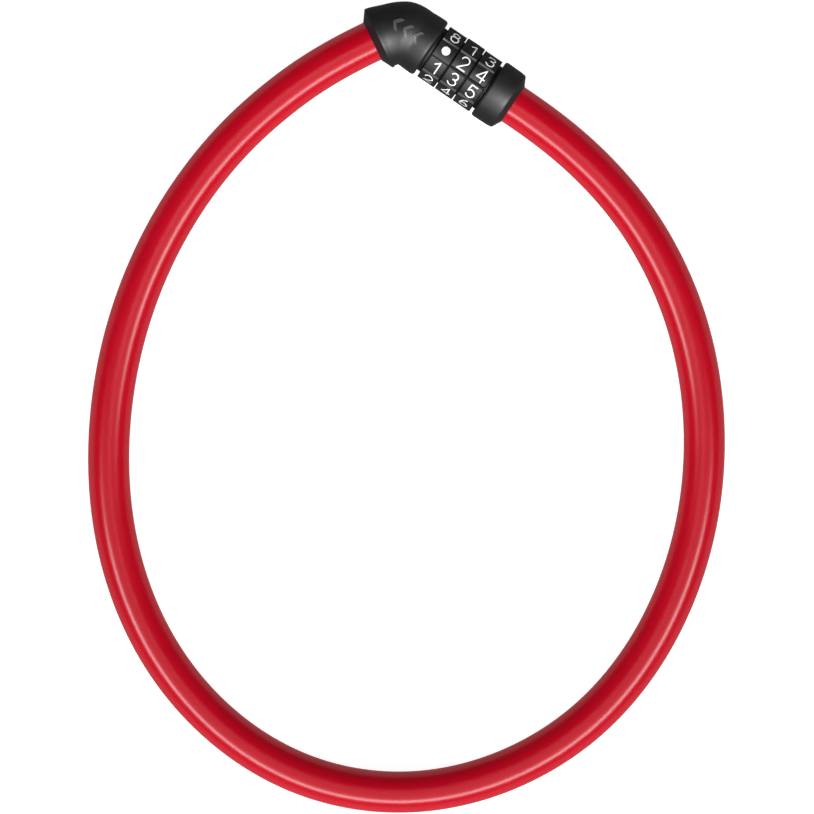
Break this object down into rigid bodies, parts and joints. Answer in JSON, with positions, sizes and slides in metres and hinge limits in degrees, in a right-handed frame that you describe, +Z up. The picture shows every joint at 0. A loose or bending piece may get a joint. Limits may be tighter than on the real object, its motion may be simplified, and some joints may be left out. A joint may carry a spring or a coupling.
{
  "type": "cable combination lock",
  "caption": "Short loop of thick coated cable whose elbow head plugs into a barrel with number dials; the bolt draws out when the dials show the code.",
  "frame": {"origin": "centre line of the small moulded flat under the end collar, on the surface the lock lies on", "axes": "+X along the dial axis from the elbow head to the end collar, +Y away from the cable's loop, +Z up, away from the surface it lies on"},
  "size_m": [0.1957, 0.212, 0.0184],
  "materials": {
    "black_plastic": "satin moulded plastic",
    "dial_plastic": "satin moulded plastic with white printed digits",
    "red_pvc": "glossy soft PVC coating",
    "steel": "hardened steel",
    "zinc": "die-cast zinc",
    "brass": "crimped brass",
    "strand_steel": "twisted steel strand"
  },
  "bodies": {
    "barrel": {"core_tube": "zinc", "front_ring": "black_plastic", "rear_ring": "black_plastic", "end_collar": "black_plastic", "collar_ferrule": "brass", "collar_pin": "steel", "cable_sheath": "red_pvc", "cable_strand": "strand_steel", "detent_leaf_1": "steel", "detent_leaf_2": "steel", "detent_leaf_3": "steel", "dial_washer_1": "steel", "dial_washer_2": "steel"},
    "dial_1_body": {"dial_1": "dial_plastic", "gate_ring_1": "zinc"},
    "dial_2_body": {"dial_2": "dial_plastic", "gate_ring_2": "zinc"},
    "dial_3_body": {"dial_3": "dial_plastic", "gate_ring_3": "zinc"},
    "head": {"head_cover_top": "black_plastic", "head_cover_bottom": "black_plastic", "head_core": "zinc", "bolt": "steel", "bolt_lug_1": "steel", "bolt_lug_2": "steel", "bolt_lug_3": "steel", "bolt_pin": "steel", "head_ferrule": "brass", "ferrule_pin": "steel"}
  },
  "joints": [
    {"name": "head_slide", "type": "slide", "parent": "barrel", "child": "head", "axis": [-1, 0, 0], "range_m": [0, 0.026], "deforming": ["cable_sheath", "cable_strand"]},
    {"name": "dial_1_turn", "type": "hinge", "parent": "barrel", "child": "dial_1_body", "pos_m": [-0.0205, 0, 0.009], "axis": [1, 0, 0], "continuous": true},
    {"name": "dial_2_turn", "type": "hinge", "parent": "barrel", "child": "dial_2_body", "pos_m": [-0.0143, 0, 0.009], "axis": [1, 0, 0], "continuous": true},
    {"name": "dial_3_turn", "type": "hinge", "parent": "barrel", "child": "dial_3_body", "pos_m": [-0.0081, 0, 0.009], "axis": [1, 0, 0], "continuous": true}
  ]
}
